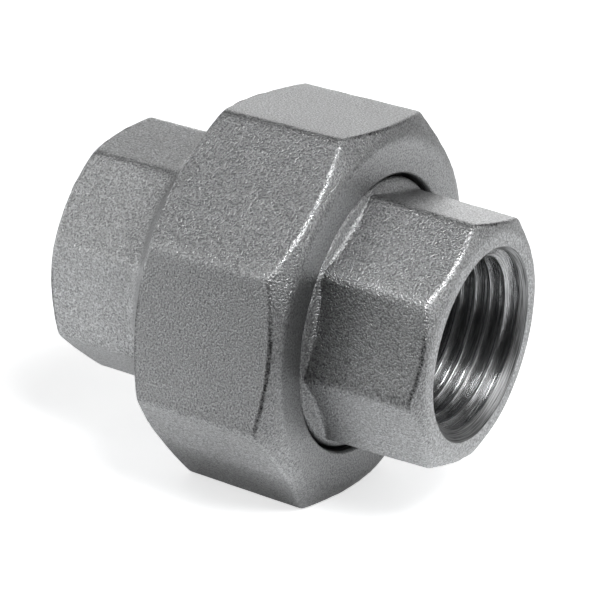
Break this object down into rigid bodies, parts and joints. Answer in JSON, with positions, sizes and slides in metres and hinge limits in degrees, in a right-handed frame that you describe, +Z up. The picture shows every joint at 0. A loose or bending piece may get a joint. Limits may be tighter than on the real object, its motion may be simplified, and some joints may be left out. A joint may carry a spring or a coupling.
{
  "type": "pipe union",
  "caption": "Pipe union for two threaded pipes: two octagonal end pieces with threaded sockets, a flat gasket between them and a big octagonal nut that pulls them together.",
  "frame": {"origin": "on the union's axis, in the plane of the head's sealing face, which is also the middle of the nut's length when the union is closed", "axes": "+X along the axis from the head to the tail, +Z up, with the nut on one of its flats"},
  "size_m": [0.0472, 0.042, 0.042],
  "materials": {
    "end_steel": "bead-blasted cast stainless steel, bright machined threads and faces",
    "nut_steel": "bead-blasted cast stainless steel, bright machined hole and thread",
    "gasket_ptfe": "matte white sealing ring"
  },
  "bodies": {
    "head": {"head": "end_steel"},
    "gasket": {"seal_gasket": "gasket_ptfe"},
    "tail": {"tail": "end_steel"},
    "nut": {"union_nut": "nut_steel"}
  },
  "joints": [
    {"name": "union_travel", "type": "slide", "parent": "head", "child": "gasket", "axis": [1, 0, 0], "range_m": [0, 0.008]},
    {"name": "nut_turn", "type": "hinge", "parent": "gasket", "child": "nut", "pos_m": [0, 0, 0], "axis": [1, 0, 0], "range_deg": [0, 1440]},
    {"name": "tail_swivel", "type": "hinge", "parent": "gasket", "child": "tail", "pos_m": [0.0015, 0, 0], "axis": [1, 0, 0], "continuous": true}
  ],
  "couplings": [
    {"joint": "union_travel", "follows": "nut_turn", "m_per_rad": 0.00031831}
  ]
}
